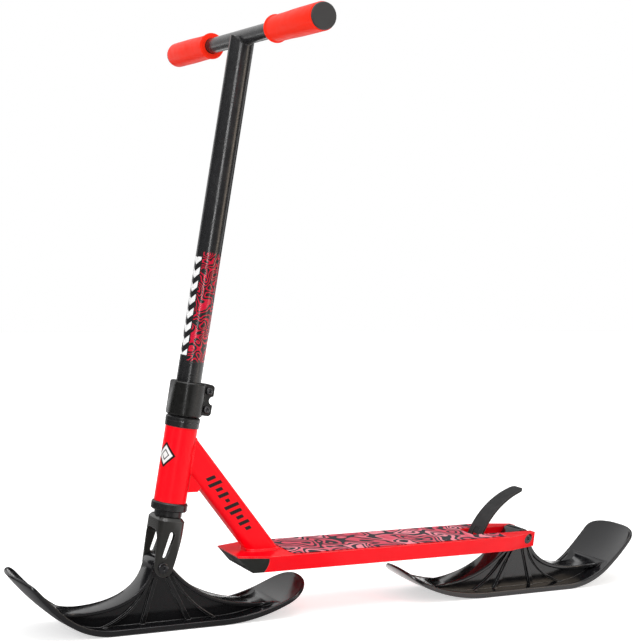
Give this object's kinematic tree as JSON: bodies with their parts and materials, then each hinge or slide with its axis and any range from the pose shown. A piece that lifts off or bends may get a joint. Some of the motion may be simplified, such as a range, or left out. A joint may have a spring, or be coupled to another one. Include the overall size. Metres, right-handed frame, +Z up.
{
  "type": "snow scooter",
  "caption": "Kick scooter for snow: a straight bar and raked steering column on a flat deck, standing on upturned moulded skis in place of wheels, with a sprung rear brake fender.",
  "frame": {"origin": "centre of the bounding box in X and Y, on the ground plane under the flat soles of the skis", "axes": "+Z up, -Y forward towards the front ski, +X towards the rider's left"},
  "size_m": [0.494, 1.0238, 0.8336],
  "materials": {
    "red_frame_paint": "gloss",
    "red_grip_rubber": "satin",
    "satin_black_paint": "satin",
    "black_ski_plastic": "gloss",
    "black_cap_plastic": "matte",
    "grey_plastic": "matte",
    "dark_steel": "black oxide",
    "bright_steel": "zinc plated",
    "printed_grip_paper": "rough"
  },
  "bodies": {
    "frame": {"deck": "red_frame_paint", "down_tube": "red_frame_paint", "head_tube": "red_frame_paint", "upper_headset_cup": "satin_black_paint", "upper_bearing": "bright_steel", "lower_headset_cup": "satin_black_paint", "lower_bearing": "bright_steel", "deck_nose_cap": "black_cap_plastic", "nose_cap_screw_left": "dark_steel", "nose_cap_screw_right": "dark_steel", "grip_tape": "printed_grip_paper", "brake_pin": "bright_steel", "brake_spring": "bright_steel", "rear_axle_bolt": "dark_steel", "rear_axle_nut": "bright_steel"},
    "steering": {"bar_upright": "satin_black_paint", "crossbar": "satin_black_paint", "grip_left": "red_grip_rubber", "grip_right": "red_grip_rubber", "bar_plug_left": "grey_plastic", "bar_plug_right": "grey_plastic", "bar_clamp": "satin_black_paint", "clamp_bolt_lower": "dark_steel", "clamp_bolt_upper": "dark_steel", "headset_top_cap": "satin_black_paint", "compression_ring": "bright_steel", "crown_race": "satin_black_paint", "fork": "satin_black_paint", "steerer_tube": "dark_steel", "compression_cap": "dark_steel", "star_nut": "bright_steel", "compression_bolt": "dark_steel", "front_axle_bolt": "dark_steel", "front_axle_nut": "bright_steel"},
    "front_ski_body": {"front_ski": "black_ski_plastic", "front_bush_left": "grey_plastic", "front_bush_right": "grey_plastic"},
    "rear_ski_body": {"rear_ski": "black_ski_plastic", "rear_bush_left": "grey_plastic", "rear_bush_right": "grey_plastic"},
    "brake": {"brake_fender": "grey_plastic"}
  },
  "joints": [
    {"name": "steering_turn", "type": "hinge", "parent": "frame", "child": "steering", "pos_m": [0, -0.29557, 0.08155], "axis": [0, 0.1357, 0.9907], "range_deg": [-90, 90]},
    {"name": "front_ski_pitch", "type": "hinge", "parent": "steering", "child": "front_ski_body", "pos_m": [0, -0.3025, 0.0825], "axis": [1, 0, 0], "range_deg": [-30, 4]},
    {"name": "rear_ski_pitch", "type": "hinge", "parent": "frame", "child": "rear_ski_body", "pos_m": [0, 0.3025, 0.0825], "axis": [1, 0, 0], "range_deg": [-4, 30]},
    {"name": "brake_press", "type": "hinge", "parent": "frame", "child": "brake", "pos_m": [0, 0.2225, 0.079], "axis": [-1, 0, 0], "range_deg": [0, 14], "stiffness_Nm_per_rad": 0.3, "springref_deg": -11.46}
  ]
}
